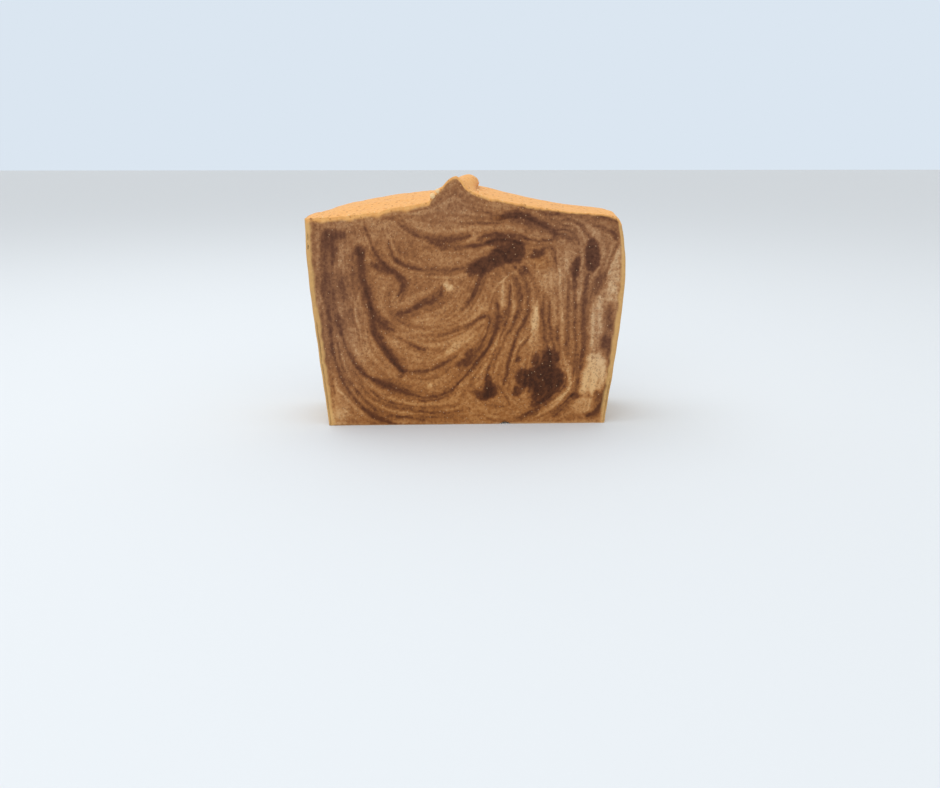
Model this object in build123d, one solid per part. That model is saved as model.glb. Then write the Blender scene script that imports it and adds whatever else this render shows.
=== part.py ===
"""A hand-cut bar of soap: one slice of a loaf that was cast in a tapering mould.

The loaf ran front to back.  The mould shaped its flat foot and its two flanks, which lean outwards and bow a
little.  Its top was left open and worked up with a spoon, into two slopes that climb to one ridge.  Two
parallel cuts free the bar, so its front and back are flat.  It is one solid piece all through.

The bar is made the same way here: the mould block, with its upright edges already rounded, is cut down to the
worked top.  Frame: millimetres, +X to the right, +Y away from the front cut, +Z up, with the origin on the
foot at the centre of the bar's own box.
"""

import math
import os
from dataclasses import dataclass

from build123d import *

# ---- driving sizes, mm ---------------------------------------------------------------------------------------
THICKNESS = 25.4  # front cut to back cut
OVERALL_WIDTH = 84.4  # left shoulder to the fullest point of the right flank
FOOT_WIDTH = 76.2  # across the flat foot
SHOULDER_HEIGHT = 55.9  # the left shoulder at the front cut, above the foot

LEFT_BOW = 0.8  # how far the left flank swells past a straight wall
RIGHT_INSET = 1.6  # the right shoulder lies this far inside the right flank's fullest point

CORNER_RADIUS = 2.0  # the soft turn from the top into the right flank
FLANK_EDGE = 0.7  # rounding of the upright edges, where the cuts meet the flanks
FOOT_EDGE = 0.35  # rounding of the edges round the foot

CHIP_PLACE = 10.4  # a chip is missing from the front of the foot, this far right of the middle
CHIP_WIDTH = 2.8
CHIP_HEIGHT = 0.75
CHIP_DEPTH = 1.6

SPARE = 6.0  # how far the blank shapes run past the faces that trim them

# How the flanks swell: (share of the way up, share of the bow).
FULLEST = 0.75
BOW_PROFILE = ((0.0, 0.0), (0.25, 0.5), (0.5, 0.9), (FULLEST, 1.0), (1.0, 0.0))
SLOPE_SHARES = (0.0, 0.3, 0.6, 1.0)  # where a slope of the top is given a point, along its length


@dataclass(frozen=True)
class TopSection:
    """The outline of the worked top at one depth, square to the loaf's length.

    Every rise is measured up from SHOULDER_HEIGHT, and every ridge point is (right of the middle, rise).
    """

    depth: float  # share of THICKNESS behind the front cut
    left_rise: float  # where the top meets the left flank
    left_sag: float  # how far the left slope hangs below a straight line
    ridge: tuple  # from the left slope, over the crest, down to the right slope
    right_sag: float
    right_rise: float  # where the top starts to turn down into the right flank


TOP_SECTIONS = (
    TopSection(
        depth=0.0,
        left_rise=0.0,
        left_sag=0.9,
        ridge=((-10.1, 3.9), (-7.1, 7.3), (-3.2, 10.6), (-1.0, 8.9), (1.4, 6.6)),
        right_sag=1.1,
        right_rise=0.7,
    ),
    TopSection(
        depth=0.36,
        left_rise=0.1,
        left_sag=-0.4,
        ridge=((-9.2, 5.2), (-4.9, 8.2), (0.6, 10.9), (2.9, 9.5), (3.0, 7.1)),
        right_sag=0.6,
        right_rise=1.3,
    ),
    TopSection(
        depth=0.68,
        left_rise=-0.2,
        left_sag=-1.2,
        ridge=((-8.8, 5.8), (-4.6, 8.0), (0.6, 10.1), (3.2, 8.7), (3.6, 7.2)),
        right_sag=0.2,
        right_rise=1.4,
    ),
    TopSection(
        depth=1.0,
        left_rise=-0.7,
        left_sag=-1.7,
        ridge=((-8.6, 6.0), (-4.8, 7.8), (-0.6, 9.2), (2.0, 8.4), (3.4, 7.4)),
        right_sag=-0.1,
        right_rise=1.0,
    ),
)


def wall(foot, shoulder, bow):
    """One flank as a curve from the foot to the shoulder: a straight line, swollen to the right by bow."""
    points = []
    for share, amount in BOW_PROFILE:
        across = foot[0] + share * (shoulder[0] - foot[0]) + amount * bow
        points.append((across, share * shoulder[1]))
    return Edge.make_spline(points)


def mould_block():
    """The loaf between its two cuts, still too tall, with the flanks and the foot at their finished shape."""
    left_foot = (-FOOT_WIDTH / 2, 0.0)
    right_foot = (FOOT_WIDTH / 2, 0.0)
    left_shoulder = (-OVERALL_WIDTH / 2, SHOULDER_HEIGHT)
    right_shoulder = (OVERALL_WIDTH / 2 - RIGHT_INSET, SHOULDER_HEIGHT)
    ceiling = 2 * SHOULDER_HEIGHT

    # The right flank bows just far enough for its fullest point to reach the overall width.
    right_bow = OVERALL_WIDTH / 2 - right_foot[0] - FULLEST * (right_shoulder[0] - right_foot[0])
    left = wall(left_foot, left_shoulder, -LEFT_BOW)
    right = wall(right_foot, right_shoulder, right_bow)
    above_left = (left_shoulder[0], ceiling)
    above_right = (right_shoulder[0], ceiling)
    outline = Wire(
        [
            Edge.make_line(left_foot, right_foot),
            right,
            Edge.make_line(right_shoulder, above_right),
            Edge.make_line(above_right, above_left),
            Edge.make_line(above_left, left_shoulder),
            left,
        ]
    )
    block = extrude(Plane.XZ * Face(outline), amount=THICKNESS / 2, both=True)

    cuts = block.faces().filter_by(Axis.Y)
    upright = [edge for edge in cuts.edges() if edge.bounding_box().size.Z > SHOULDER_HEIGHT / 2]
    block = fillet(upright, FLANK_EDGE)
    return fillet(block.faces().sort_by(Axis.Z)[0].edges(), FOOT_EDGE)


def slope(start, end, sag):
    """The points of one slope of the top, hanging sag below the straight line between its ends."""
    points = []
    for share in SLOPE_SHARES:
        hang = 4 * sag * share * (1 - share)  # a parabola, deepest halfway along
        points.append((start[0] + share * (end[0] - start[0]), start[1] + share * (end[1] - start[1]) - hang))
    return points


def top_outline(section):
    """The closed outline of everything under the worked top at one depth, wider than the bar itself."""
    left_end = -OVERALL_WIDTH / 2 - SPARE
    right_end = OVERALL_WIDTH / 2 + SPARE
    ridge = [(across, SHOULDER_HEIGHT + rise) for across, rise in section.ridge]
    left_top = (left_end, SHOULDER_HEIGHT + section.left_rise)
    turn = (OVERALL_WIDTH / 2 - RIGHT_INSET - CORNER_RADIUS, SHOULDER_HEIGHT + section.right_rise)
    half_turn = math.radians(45)
    corner = (
        turn[0] + CORNER_RADIUS * math.sin(half_turn),
        turn[1] - CORNER_RADIUS * (1 - math.cos(half_turn)),
    )
    right_top = (right_end, turn[1] - 2 * SPARE)

    plane = Plane(origin=(0, (section.depth - 0.5) * THICKNESS, 0), x_dir=(1, 0, 0), z_dir=(0, -1, 0))
    return plane * Wire(
        [
            Edge.make_line((left_end, -SPARE), (right_end, -SPARE)),
            Edge.make_line((right_end, -SPARE), right_top),
            Edge.make_spline([right_top, corner, turn]),
            Edge.make_spline(slope(turn, ridge[-1], section.right_sag)),
            Edge.make_spline(ridge[::-1]),
            Edge.make_spline(slope(ridge[0], left_top, section.left_sag)),
            Edge.make_line(left_top, (left_end, -SPARE)),
        ]
    )


def worked_top():
    """Everything that lies under the worked top, as one solid that runs from cut to cut."""
    return Solid.make_loft([top_outline(section) for section in TOP_SECTIONS])


def chip():
    """The crumb that broke away from the front edge of the foot."""
    crumb = scale(Sphere(1.0), (CHIP_WIDTH / 2, CHIP_DEPTH, CHIP_HEIGHT))
    return Pos(CHIP_PLACE, -THICKNESS / 2, 0) * crumb


def soap_bar():
    """The finished bar, moved so that the origin is at the middle of its box, on the foot."""
    bar = mould_block() & worked_top()
    bar = bar - chip()
    return Pos(-bar.bounding_box().center().X, 0, 0) * bar


if __name__ == "__main__":
    os.makedirs("parts", exist_ok=True)
    export_step(soap_bar(), "parts/soap_bar.step")
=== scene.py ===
"""Dresses a hand-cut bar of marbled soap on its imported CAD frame.

The bar is one slice of a loaf that was cast in a tapering mould.  Its front and back are cuts, so
they show the marbling; its flanks and foot touched the mould and carry a pale skin; its top was left
open and spooned into two slopes and a ridge that curls over to the right.

Every size below is in millimetres unless a name says otherwise.  Meshes are made in metres, in the
frame's own axes: +X to the right, +Y away from the front cut, +Z up, with the origin on the foot.
"""

import logging
import math
from dataclasses import dataclass, field
from enum import Enum
from typing import Sequence

import bpy
import numpy as np
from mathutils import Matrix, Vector


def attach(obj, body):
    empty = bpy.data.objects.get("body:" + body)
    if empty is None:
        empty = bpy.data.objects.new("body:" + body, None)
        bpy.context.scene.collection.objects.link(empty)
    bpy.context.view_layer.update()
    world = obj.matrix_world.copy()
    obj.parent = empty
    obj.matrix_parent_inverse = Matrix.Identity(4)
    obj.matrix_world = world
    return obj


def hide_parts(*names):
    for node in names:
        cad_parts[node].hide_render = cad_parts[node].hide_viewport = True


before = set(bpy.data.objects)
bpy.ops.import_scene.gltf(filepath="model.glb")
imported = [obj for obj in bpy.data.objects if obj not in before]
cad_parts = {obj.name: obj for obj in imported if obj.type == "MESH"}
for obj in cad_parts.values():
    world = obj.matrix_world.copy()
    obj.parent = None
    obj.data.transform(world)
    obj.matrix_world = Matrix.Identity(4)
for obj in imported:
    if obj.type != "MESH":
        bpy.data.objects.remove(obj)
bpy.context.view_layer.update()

LOG = logging.getLogger("soap")
MM = 0.001
NODE = "soap_bar"
BODY = "root"

Pair = tuple[float, float]
Grid = np.ndarray


# ---- numbers and curves --------------------------------------------------------------------------


def smooth_step(low: float, high: float, value: Grid) -> Grid:
    """Rises smoothly from 0 at low to 1 at high.

    Args:
        low: Where the rise starts.
        high: Where it ends; it may lie below low, for a fall.
        value: The numbers to map.

    Returns:
        The mapped numbers, from 0 to 1.
    """
    share = np.clip((value - low) / (high - low), 0.0, 1.0)
    return share * share * (3.0 - 2.0 * share)


def spline(points: Grid, shares: Grid, knots: Grid | None = None) -> Grid:
    """A Catmull-Rom curve through points, with knots spaced by the square root of their distance.

    Args:
        points: The points it passes through, one in each row.
        shares: Where to read it, from 0 at the first point to 1 at the last.
        knots: The share of each point, if it isn't to be worked out.

    Returns:
        One point in each row, for each share.
    """
    points = np.asarray(points, float)
    gaps = np.sqrt(np.maximum(np.linalg.norm(np.diff(points, axis=0), axis=1), 1e-6))
    if knots is None:
        knots = np.concatenate([[0.0], np.cumsum(gaps)]) / gaps.sum()
    slopes = np.empty_like(points)
    slopes[1:-1] = (points[2:] - points[:-2]) / (knots[2:] - knots[:-2])[:, None]
    slopes[0] = (points[1] - points[0]) / (knots[1] - knots[0])
    slopes[-1] = (points[-1] - points[-2]) / (knots[-1] - knots[-2])
    span = np.clip(np.searchsorted(knots, shares, side="right") - 1, 0, len(points) - 2)
    width = knots[span + 1] - knots[span]
    t = ((shares - knots[span]) / width)[:, None]
    start = (2 * t**3 - 3 * t**2 + 1) * points[span] + (t**3 - 2 * t**2 + t) * width[:, None] * slopes[span]
    end = (3 * t**2 - 2 * t**3) * points[span + 1] + (t**3 - t**2) * width[:, None] * slopes[span + 1]
    return start + end


def even_along(points: Grid, count: int) -> Grid:
    """The spline through points, read at count places that are evenly spaced along it."""
    dense = spline(points, np.linspace(0.0, 1.0, 400))
    length = np.concatenate([[0.0], np.cumsum(np.linalg.norm(np.diff(dense, axis=0), axis=1))])
    wanted = np.linspace(0.0, length[-1], count)
    return np.stack([np.interp(wanted, length, dense[:, i]) for i in range(dense.shape[1])], axis=1)


class Ripple:
    """Seeded gradient noise, the same on every run, with values from about -1 to 1."""

    def __init__(self, seed: int) -> None:
        """Shuffles the lattice with the seed."""
        picks = np.random.RandomState(seed)
        self.order = np.tile(picks.permutation(256), 2)
        arrows = picks.normal(size=(256, 3))
        self.arrows = arrows / np.linalg.norm(arrows, axis=1)[:, None]

    def at(self, x: Grid, y: Grid, z: Grid) -> Grid:
        """The noise at each point.

        Args:
            x: Places along X, in cells of the noise.
            y: Places along Y.
            z: Places along Z.

        Returns:
            One value for each point.
        """
        x, y, z = np.broadcast_arrays(np.asarray(x, float), y, z)
        cell = [np.floor(v).astype(int) for v in (x, y, z)]
        part = [v - c for v, c in zip((x, y, z), cell)]
        ease = [p * p * p * (p * (6 * p - 15) + 10) for p in part]
        total = np.zeros(x.shape)
        for corner in range(8):
            step = [(corner >> axis) & 1 for axis in range(3)]
            a, b, c = [(cell[axis] + step[axis]) & 255 for axis in range(3)]
            arrow = self.arrows[self.order[self.order[self.order[a] + b] + c]]
            reach = sum(arrow[..., axis] * (part[axis] - step[axis]) for axis in range(3))
            weight = 1.0
            for axis in range(3):
                weight = weight * (ease[axis] if step[axis] else 1.0 - ease[axis])
            total += weight * reach
        return total * 1.6


# ---- the marbling --------------------------------------------------------------------------------


class Batter(Enum):
    """The batters that were poured and stirred together, each by the colour it leaves."""

    DARK = "dark"
    PALE = "pale"
    WARM = "warm"
    COOL = "cool"


@dataclass(frozen=True)
class Streak:
    """A drawn-out ribbon of batter, as the front cut shows it.

    Points are (right of the middle, above the foot).  Width is the ribbon's full width halfway along;
    it narrows to a share of that at each end.  A guide has no strength, and only steers the fine
    lines beside it.
    """

    points: tuple[Pair, ...]
    width: float = 0.8
    strength: float = 0.6
    batter: Batter = Batter.DARK
    start: float = 0.25
    end: float = 0.25


@dataclass(frozen=True)
class Pool:
    """A patch of batter: an oval with a wandering edge."""

    centre: Pair
    reach: Pair
    tilt: float = 0.0
    strength: float = 0.6
    batter: Batter = Batter.DARK
    soft: float = 0.35


STREAKS: tuple[Streak, ...] = (
    # the broad dark stroke that falls from the upper left and sweeps under the bowl
    Streak(
        ((-28.2, 48.6), (-28.0, 45.0), (-28.1, 41.8), (-27.4, 38.8), (-26.4, 35.4), (-25.4, 31.6)),
        1.9, 0.85,
    ),
    Streak(
        ((-25.8, 32.6), (-24.9, 27.2), (-23.4, 23.8), (-21.2, 20.0), (-19.0, 17.0), (-17.4, 14.8)),
        1.7, 0.85,
    ),
    Streak(((-25.2, 31.8), (-23.6, 29.6), (-21.8, 27.8), (-19.6, 26.4)), 1.7, 0.7),
    Streak(
        ((-18.0, 15.4), (-14.4, 15.2), (-10.6, 15.4), (-7.4, 16.7), (-4.9, 18.2), (-2.4, 19.8)),
        0.8, 0.62,
    ),
    # the outer bowl
    Streak(
        (
            (-33.6, 26.5), (-32.4, 22.0), (-30.6, 18.2), (-27.6, 14.4),
            (-23.6, 12.0), (-19.6, 10.0), (-15.4, 8.5),
        ),
        1.0,
        0.75,
        end=1.4,
    ),
    Streak(((-25.6, 13.0), (-22.6, 11.6), (-19.4, 10.2), (-16.6, 9.0)), 1.9, 0.8),
    Streak(((-17.0, 9.0), (-13.0, 7.9), (-9.0, 8.0), (-5.8, 8.9), (-3.4, 10.6), (-1.2, 13.0)), 0.9, 0.75),
    Streak(((-1.2, 13.0), (1.4, 15.6), (4.2, 19.0), (6.4, 22.9), (8.4, 26.8), (10.2, 31.0)), 0.7, 0.5),
    Streak(((-15.2, 7.2), (-11.6, 6.9), (-8.2, 7.1), (-4.8, 8.4), (-2.0, 10.4)), 0.45, 0.62),
    # upright streaks down the left side, turning under towards the foot
    Streak(
        ((-37.5, 50.5), (-37.8, 45.0), (-37.9, 40.0), (-37.4, 35.0), (-36.9, 30.4), (-36.6, 26.0)),
        1.7, 0.62,
    ),
    Streak(
        ((-36.6, 27.0), (-36.2, 21.5), (-35.0, 17.0), (-33.4, 12.0), (-31.0, 8.2), (-28.2, 4.8)),
        0.9, 0.62,
    ),
    Streak(((-28.6, 5.2), (-25.8, 2.9), (-22.4, 1.3), (-19.6, 0.2)), 1.5, 0.7),
    Streak(((-35.0, 51.0), (-34.9, 48.0), (-35.1, 44.8)), 1.9, 0.72),
    Streak(((-35.4, 45.0), (-35.6, 39.0), (-35.2, 33.0), (-34.8, 27.0)), 1.0, 0.45),
    Streak(((-33.6, 43.4), (-33.7, 40.6), (-32.9, 37.4), (-32.6, 34.0)), 1.2, 0.5),
    Streak(((-34.1, 30.4), (-34.0, 28.2), (-33.8, 25.6)), 1.5, 0.72),
    Streak(((-34.8, 23.6), (-34.3, 18.2), (-33.2, 14.0), (-31.8, 11.0), (-29.8, 8.0)), 0.6, 0.55),
    Streak(((-38.9, 33.0), (-38.5, 26.0), (-37.8, 20.0), (-36.8, 14.0), (-36.0, 9.0)), 0.7, 0.4),
    Streak(((-39.7, 50.0), (-39.9, 42.0), (-39.5, 35.0)), 0.6, 0.35),
    Streak(((-30.2, 43.6), (-30.4, 40.8), (-30.2, 38.0), (-29.4, 35.2)), 1.0, 0.42),
    Streak(((-31.0, 32.8), (-31.2, 29.8), (-30.4, 27.2)), 0.8, 0.35),
    Streak(((-35.6, 24.0), (-35.0, 19.0), (-33.6, 15.0), (-31.8, 11.8)), 0.5, 0.42, Batter.PALE),
    Streak(((-36.0, 12.0), (-33.6, 8.4), (-31.0, 5.4), (-28.0, 2.6)), 0.5, 0.4, Batter.PALE),
    Streak(((-31.6, 11.2), (-31.2, 9.6), (-30.4, 8.2)), 0.8, 0.5, Batter.PALE),
    # the inner bowls, hung from the upper left
    Streak(
        ((-26.6, 54.4), (-25.8, 51.4), (-24.7, 48.4), (-23.4, 45.9), (-21.8, 44.0), (-20.2, 42.8)),
        0.6, 0.6,
    ),
    Streak(((-25.4, 44.4), (-23.2, 43.6), (-21.2, 42.8), (-19.4, 42.0)), 1.3, 0.72),
    Streak(((-19.4, 42.0), (-18.2, 40.8), (-17.2, 38.9), (-17.6, 37.0), (-18.4, 35.8)), 1.35, 0.7, start=0.7),
    Streak(
        ((-20.8, 50.4), (-20.0, 47.6), (-18.8, 45.3), (-16.6, 43.8), (-13.6, 43.0), (-10.0, 42.5)),
        0.65, 0.58,
    ),
    Streak(((-10.6, 42.6), (-7.4, 42.4), (-4.0, 42.5), (-0.6, 43.2)), 0.9, 0.5),
    Streak(((-14.0, 41.6), (-10.6, 41.4), (-7.0, 41.2)), 0.6, 0.35),
    Streak(((-16.0, 50.8), (-14.0, 48.4), (-11.0, 47.0), (-7.6, 46.6)), 0.5, 0.25),
    # the pair of long ribbons under the top
    Streak(
        ((-24.0, 55.0), (-21.8, 55.7), (-19.6, 55.7), (-17.4, 54.6), (-15.2, 53.0), (-13.0, 51.8)),
        0.5, 0.55,
    ),
    Streak(((-17.2, 54.2), (-14.6, 52.6), (-12.2, 51.4), (-10.0, 50.9)), 1.2, 0.6),
    Streak(((-11.0, 51.1), (-8.0, 50.6), (-5.0, 50.5), (-2.2, 50.9), (0.6, 51.6)), 1.5, 0.8),
    Streak(((-10.6, 49.8), (-7.4, 49.0), (-4.2, 48.5), (-1.0, 48.6), (2.6, 48.9), (6.0, 49.9)), 1.1, 0.68),
    Streak(((2.4, 50.3), (5.2, 51.5), (8.0, 52.0), (11.2, 51.7), (14.0, 51.2), (16.4, 50.4)), 1.2, 0.78),
    Streak(((15.0, 50.7), (18.2, 50.2), (21.0, 50.5), (24.4, 50.9), (27.0, 50.4)), 0.6, 0.6),
    Streak(((-2.4, 54.6), (1.8, 54.8), (5.4, 54.7), (9.0, 54.9)), 0.4, 0.55),
    Streak(((2.0, 57.6), (5.0, 57.0), (8.0, 56.0)), 0.8, 0.35),
    Streak(((8.6, 55.8), (11.4, 56.7), (14.4, 56.6), (17.4, 55.3), (20.4, 53.7), (23.4, 52.0)), 2.0, 0.72),
    Streak(((13.6, 59.0), (17.6, 58.0), (21.2, 57.0), (25.0, 57.2)), 0.6, 0.45),
    Streak(((20.0, 57.0), (22.6, 55.6), (25.2, 54.4), (27.8, 53.6)), 0.45, 0.45),
    Streak(((21.6, 52.6), (24.4, 53.0), (26.8, 52.6), (28.6, 51.0), (29.4, 49.0)), 0.45, 0.5),
    Streak(((22.6, 51.4), (24.8, 51.9), (26.6, 51.2), (27.8, 49.6)), 0.4, 0.5),
    Streak(((24.0, 55.6), (27.0, 55.4), (29.6, 53.8), (31.4, 51.8), (32.6, 49.8)), 0.7, 0.62),
    Streak(((25.2, 54.6), (27.8, 54.2), (29.8, 52.6), (30.8, 50.4)), 0.4, 0.42, Batter.PALE),
    Streak(((17.2, 53.8), (20.4, 52.4), (23.0, 51.4)), 0.5, 0.4, Batter.PALE),
    Streak(((33.0, 56.4), (36.0, 56.0), (38.4, 55.6), (40.4, 55.2)), 0.8, 0.5, start=0.7, end=0.7),
    Streak(
        ((33.6, 53.8), (36.4, 52.8), (38.4, 51.7), (39.6, 50.0), (38.9, 47.4), (37.8, 44.4), (36.6, 41.0)),
        0.6, 0.5,
    ),
    Streak(((38.0, 52.2), (39.0, 51.4), (39.8, 50.4)), 1.1, 0.5),
    # the crooked ribbons at the middle
    Streak(((-7.1, 38.0), (-7.4, 36.2), (-9.0, 34.7), (-11.6, 33.9), (-14.2, 32.8)), 1.7, 0.8),
    Streak(((-13.2, 33.2), (-16.2, 31.9), (-19.2, 31.2)), 1.1, 0.45),
    Streak(((-18.6, 24.6), (-15.6, 22.9), (-12.9, 21.4), (-11.2, 21.0)), 0.9, 0.62),
    Streak(((-20.6, 24.9), (-17.0, 23.3), (-13.6, 21.9)), 0.5, 0.3, Batter.PALE),
    Streak(((-12.4, 25.0), (-8.6, 25.1), (-5.0, 25.8), (-1.0, 27.0), (2.0, 29.0), (5.0, 30.3)), 0.8, 0.42),
    Streak(((-17.0, 28.0), (-12.0, 26.9), (-6.0, 27.2)), 0.6, 0.0),
    Streak(((-5.4, 20.4), (-2.8, 22.2), (-0.2, 24.2), (2.2, 26.0)), 1.8, 0.55, Batter.PALE),
    Streak(((4.6, 42.6), (3.4, 40.2), (2.5, 37.8), (1.6, 35.4), (0.2, 33.2)), 1.5, 0.68, start=0.9),
    Streak(((0.6, 35.0), (-0.4, 33.0), (-1.6, 31.6)), 0.7, 0.3),
    # the sheaf of lines that fans down from the right to the foot
    Streak(((0.0, 27.0), (2.3, 29.0), (4.6, 30.1), (5.7, 29.6), (5.6, 27.4), (5.0, 24.6)), 0.7, 0.62),
    Streak(((5.0, 25.2), (3.2, 22.0), (0.9, 19.4), (-1.6, 16.8)), 1.0, 0.62),
    Streak(((7.8, 33.6), (8.3, 31.0), (7.9, 28.2), (7.1, 25.2)), 1.3, 0.62),
    Streak(((7.2, 25.8), (5.7, 22.0), (3.4, 18.8), (0.9, 15.8), (-1.4, 13.0)), 0.7, 0.55),
    Streak(((11.4, 38.6), (11.3, 34.3), (10.9, 30.4), (10.0, 26.8), (8.7, 24.0)), 0.9, 0.58),
    Streak(((8.9, 24.4), (7.3, 20.2), (5.9, 16.6), (5.2, 13.4)), 0.7, 0.62),
    Streak(((14.2, 38.8), (14.1, 34.3), (13.4, 31.0), (12.1, 27.8), (10.4, 24.8)), 0.9, 0.55),
    Streak(((10.6, 25.2), (9.0, 21.6), (7.6, 18.2), (6.9, 14.6)), 0.5, 0.5),
    Streak(((16.0, 34.6), (16.3, 31.8), (15.7, 29.0), (14.0, 26.2), (12.8, 23.4)), 1.0, 0.58),
    Streak(((12.9, 23.6), (12.1, 20.4), (11.2, 17.0), (10.6, 13.8), (9.8, 11.0)), 0.8, 0.6),
    Streak(((17.2, 27.4), (16.2, 24.2), (14.6, 22.0), (13.4, 19.4), (13.0, 17.0)), 0.7, 0.62),
    Streak(((9.4, 40.0), (9.6, 36.6), (9.4, 33.6), (9.0, 30.6)), 0.7, 0.4, Batter.PALE),
    Streak(((10.0, 27.4), (8.0, 23.0), (6.4, 19.0), (4.0, 15.0), (1.6, 12.0)), 0.6, 0.42, Batter.PALE),
    Streak(((5.2, 35.0), (3.6, 31.8), (1.0, 29.4), (-2.0, 27.6)), 0.8, 0.35, Batter.PALE),
    Streak(((17.4, 26.0), (15.4, 24.0), (13.6, 21.8), (12.4, 19.0), (12.0, 16.4)), 0.45, 0.55, Batter.PALE),
    Streak(((12.2, 38.0), (12.4, 34.0), (12.0, 30.4), (11.0, 27.0)), 0.5, 0.35, Batter.PALE),
    Streak(((8.6, 45.0), (10.6, 41.8), (12.2, 39.6), (13.0, 37.0), (12.9, 34.2)), 1.1, 0.5),
    Streak(((12.0, 43.4), (14.2, 41.4), (15.6, 39.0), (16.2, 36.4), (16.2, 33.8)), 0.9, 0.5),
    Streak(((15.0, 43.2), (16.8, 41.0), (18.2, 38.4), (18.6, 36.0)), 0.8, 0.42),
    Streak(((14.2, 43.6), (12.2, 41.6), (9.6, 40.0), (7.6, 38.2), (6.2, 36.0)), 0.4, 0.45, Batter.PALE),
    # the crook and its ring at the upper right
    Streak(((19.4, 47.8), (21.2, 48.2), (22.8, 47.5), (23.4, 45.6), (23.4, 43.8), (23.7, 42.0)), 0.6, 0.68),
    Streak(((16.2, 44.6), (17.8, 43.7), (19.8, 43.2), (21.2, 44.2), (21.0, 45.8)), 0.6, 0.35),
    # upright lines down the right side
    Streak(((20.1, 36.0), (20.4, 31.0), (20.6, 27.0), (21.1, 23.6), (22.0, 20.4)), 0.9, 0.62),
    Streak(((22.2, 34.0), (22.1, 28.4), (22.6, 24.4), (23.6, 20.6)), 0.8, 0.62),
    Streak(((24.0, 27.6), (24.2, 24.4), (24.4, 22.6)), 0.9, 0.5),
    Streak(((26.6, 41.0), (26.9, 36.6), (26.9, 32.6), (27.0, 28.0), (27.3, 23.0)), 0.9, 0.45),
    Streak(((28.6, 37.0), (28.8, 31.0), (29.0, 26.0), (29.4, 21.0), (29.3, 16.0), (28.6, 12.0)), 0.8, 0.52),
    Streak(
        ((31.2, 36.6), (31.6, 32.0), (31.3, 28.0), (31.6, 24.0), (31.2, 19.0), (30.8, 14.6), (30.2, 11.0)),
        1.5, 0.52,
    ),
    Streak(((26.2, 24.4), (26.4, 21.6), (27.0, 19.4)), 1.4, 0.35),
    Streak(((21.4, 30.6), (21.6, 26.4), (21.8, 23.2), (22.4, 20.6)), 0.35, 0.5, Batter.PALE),
    Streak(
        ((25.1, 33.0), (25.6, 29.6), (25.7, 24.6), (25.9, 20.0), (26.9, 16.8), (27.6, 13.8)),
        0.4, 0.55, Batter.PALE,
    ),
    Streak(((27.6, 13.8), (28.3, 11.2), (27.3, 9.2), (25.6, 7.6), (23.4, 5.6)), 0.45, 0.5, Batter.PALE),
    Streak(((25.0, 20.4), (25.6, 17.2), (26.4, 14.4), (26.5, 11.6), (25.4, 9.4)), 0.35, 0.5, Batter.PALE),
    Streak(((28.3, 15.6), (28.8, 12.8), (28.6, 10.6)), 0.35, 0.5, Batter.PALE),
    Streak(((30.2, 47.0), (30.2, 43.0), (30.4, 39.0), (30.2, 35.0)), 0.4, 0.45, Batter.PALE),
    Streak(((29.0, 40.6), (29.4, 37.4), (29.6, 34.0)), 0.35, 0.45, Batter.PALE),
    Streak(((35.6, 49.6), (36.1, 46.6), (35.2, 43.6), (33.6, 41.0), (32.2, 38.2)), 0.4, 0.4, Batter.PALE),
    Streak(((32.0, 41.4), (31.7, 39.0), (31.2, 36.0)), 0.7, 0.6),
    Streak(((27.2, 47.6), (26.6, 44.6), (26.2, 41.6)), 0.5, 0.3, Batter.PALE),
    Streak(((35.9, 40.8), (35.5, 38.8), (34.4, 36.6)), 2.1, 0.68, start=0.5, end=0.6),
    Streak(((39.2, 49.2), (38.3, 46.4), (37.2, 42.8), (36.4, 40.6)), 0.7, 0.5),
    Streak(((38.4, 34.0), (38.4, 30.0), (38.8, 26.0)), 0.8, 0.42),
    Streak(((38.9, 24.0), (38.5, 20.4), (38.8, 16.6), (38.7, 13.4), (38.0, 10.0)), 0.8, 0.6),
    Streak(((38.2, 10.8), (37.3, 7.4), (36.5, 5.0), (35.0, 2.9), (32.8, 2.0)), 1.4, 0.68),
    Streak(((36.4, 9.6), (35.7, 7.0), (34.8, 5.0)), 0.6, 0.42),
    # layers folded along the foot
    Streak(((-32.4, 13.4), (-29.2, 8.6), (-26.0, 5.4), (-22.0, 3.4), (-17.0, 2.0), (-10.0, 1.1)), 0.6, 0.6),
    Streak(
        ((-29.6, 12.4), (-26.2, 8.2), (-22.2, 6.0), (-17.0, 4.6), (-11.0, 3.6), (-5.0, 3.5), (0.6, 4.2)),
        0.7, 0.6,
    ),
    Streak(((-27.2, 10.2), (-23.2, 7.4), (-18.2, 5.9), (-12.2, 5.1), (-6.0, 5.2), (-1.8, 6.4)), 0.5, 0.55),
    Streak(((-20.0, 1.6), (-14.6, 2.7), (-9.0, 2.3), (-3.0, 2.2), (3.0, 2.4), (8.0, 1.6)), 0.6, 0.5),
    Streak(((-3.0, 7.2), (-0.6, 9.4), (1.4, 12.2), (3.0, 14.8)), 0.6, 0.4),
    Streak(((-24.0, 9.2), (-20.0, 7.3), (-15.0, 6.1), (-10.0, 5.9)), 0.4, 0.42, Batter.PALE),
    Streak(((-26.6, 7.2), (-22.2, 4.8), (-16.0, 3.4), (-9.0, 2.9)), 0.45, 0.45, Batter.PALE),
    Streak(((-7.0, 4.3), (-3.0, 4.8), (0.0, 7.0), (2.0, 10.0)), 0.5, 0.35, Batter.PALE),
    Streak(((13.6, 1.4), (16.8, 2.8), (20.0, 4.2)), 1.3, 0.6),
    Streak(((19.0, 2.2), (22.0, 4.0), (25.2, 6.2), (27.2, 8.8)), 0.5, 0.5, Batter.PALE),
    Streak(((23.6, 1.6), (26.6, 4.8), (28.6, 6.8), (30.6, 7.8)), 1.6, 0.62),
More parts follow.
